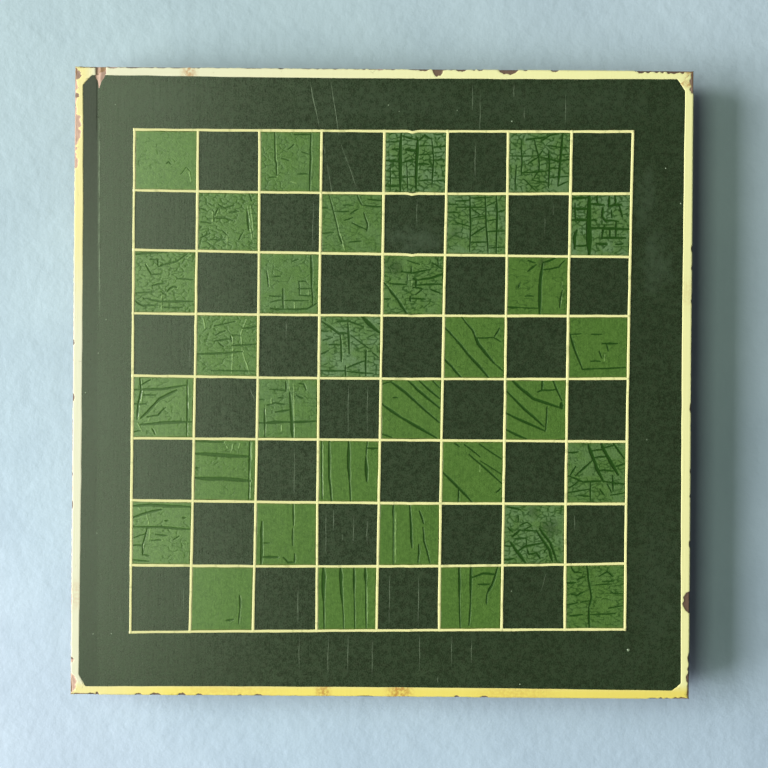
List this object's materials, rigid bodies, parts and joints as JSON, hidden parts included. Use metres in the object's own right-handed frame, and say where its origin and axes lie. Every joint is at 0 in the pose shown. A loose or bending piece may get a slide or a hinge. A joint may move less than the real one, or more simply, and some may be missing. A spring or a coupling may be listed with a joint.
{
  "type": "checkerboard",
  "caption": "Painted wooden checkerboard: edge-joined planks on two back battens, crackled green squares, hand-laid yellow pinstripes and a worn yellow border. Flat, square, for draughts.",
  "frame": {"origin": "middle of the board, in the plane of the battens' back faces that the board rests on", "axes": "+Z out of the playing face, +Y away from the player along the grain, +X to the player's right"},
  "size_m": [0.406, 0.412, 0.0306],
  "materials": {
    "plank_wood": "old bare pine, darkened",
    "batten_wood": "old bare pine, planed",
    "dowel_wood": "birch dowel",
    "steel": "dulled, lightly rusted",
    "ground_paint": "aged green-black oil enamel",
    "green_paint": "crackled light green oil enamel",
    "yellow_paint": "worn cream-yellow oil enamel"
  },
  "bodies": {
    "root": {"left_edge_strip": "plank_wood", "middle_plank": "plank_wood", "right_plank": "plank_wood", "edge_dowels": "dowel_wood", "strip_brads": "steel", "upper_batten": "batten_wood", "lower_batten": "batten_wood", "upper_batten_screws": "steel", "lower_batten_screws": "steel", "ground_coat": "ground_paint", "border_coat": "yellow_paint", "striping": "yellow_paint", "green_square_a8": "green_paint", "green_square_c8": "green_paint", "green_square_e8": "green_paint", "green_square_g8": "green_paint", "green_square_b7": "green_paint", "green_square_d7": "green_paint", "green_square_f7": "green_paint", "green_square_h7": "green_paint", "green_square_a6": "green_paint", "green_square_c6": "green_paint", "green_square_e6": "green_paint", "green_square_g6": "green_paint", "green_square_b5": "green_paint", "green_square_d5": "green_paint", "green_square_f5": "green_paint", "green_square_h5": "green_paint", "green_square_a4": "green_paint", "green_square_c4": "green_paint", "green_square_e4": "green_paint", "green_square_g4": "green_paint", "green_square_b3": "green_paint", "green_square_d3": "green_paint", "green_square_f3": "green_paint", "green_square_h3": "green_paint", "green_square_a2": "green_paint", "green_square_c2": "green_paint", "green_square_e2": "green_paint", "green_square_g2": "green_paint", "green_square_b1": "green_paint", "green_square_d1": "green_paint", "green_square_f1": "green_paint", "green_square_h1": "green_paint"}
  },
  "joints": []
}
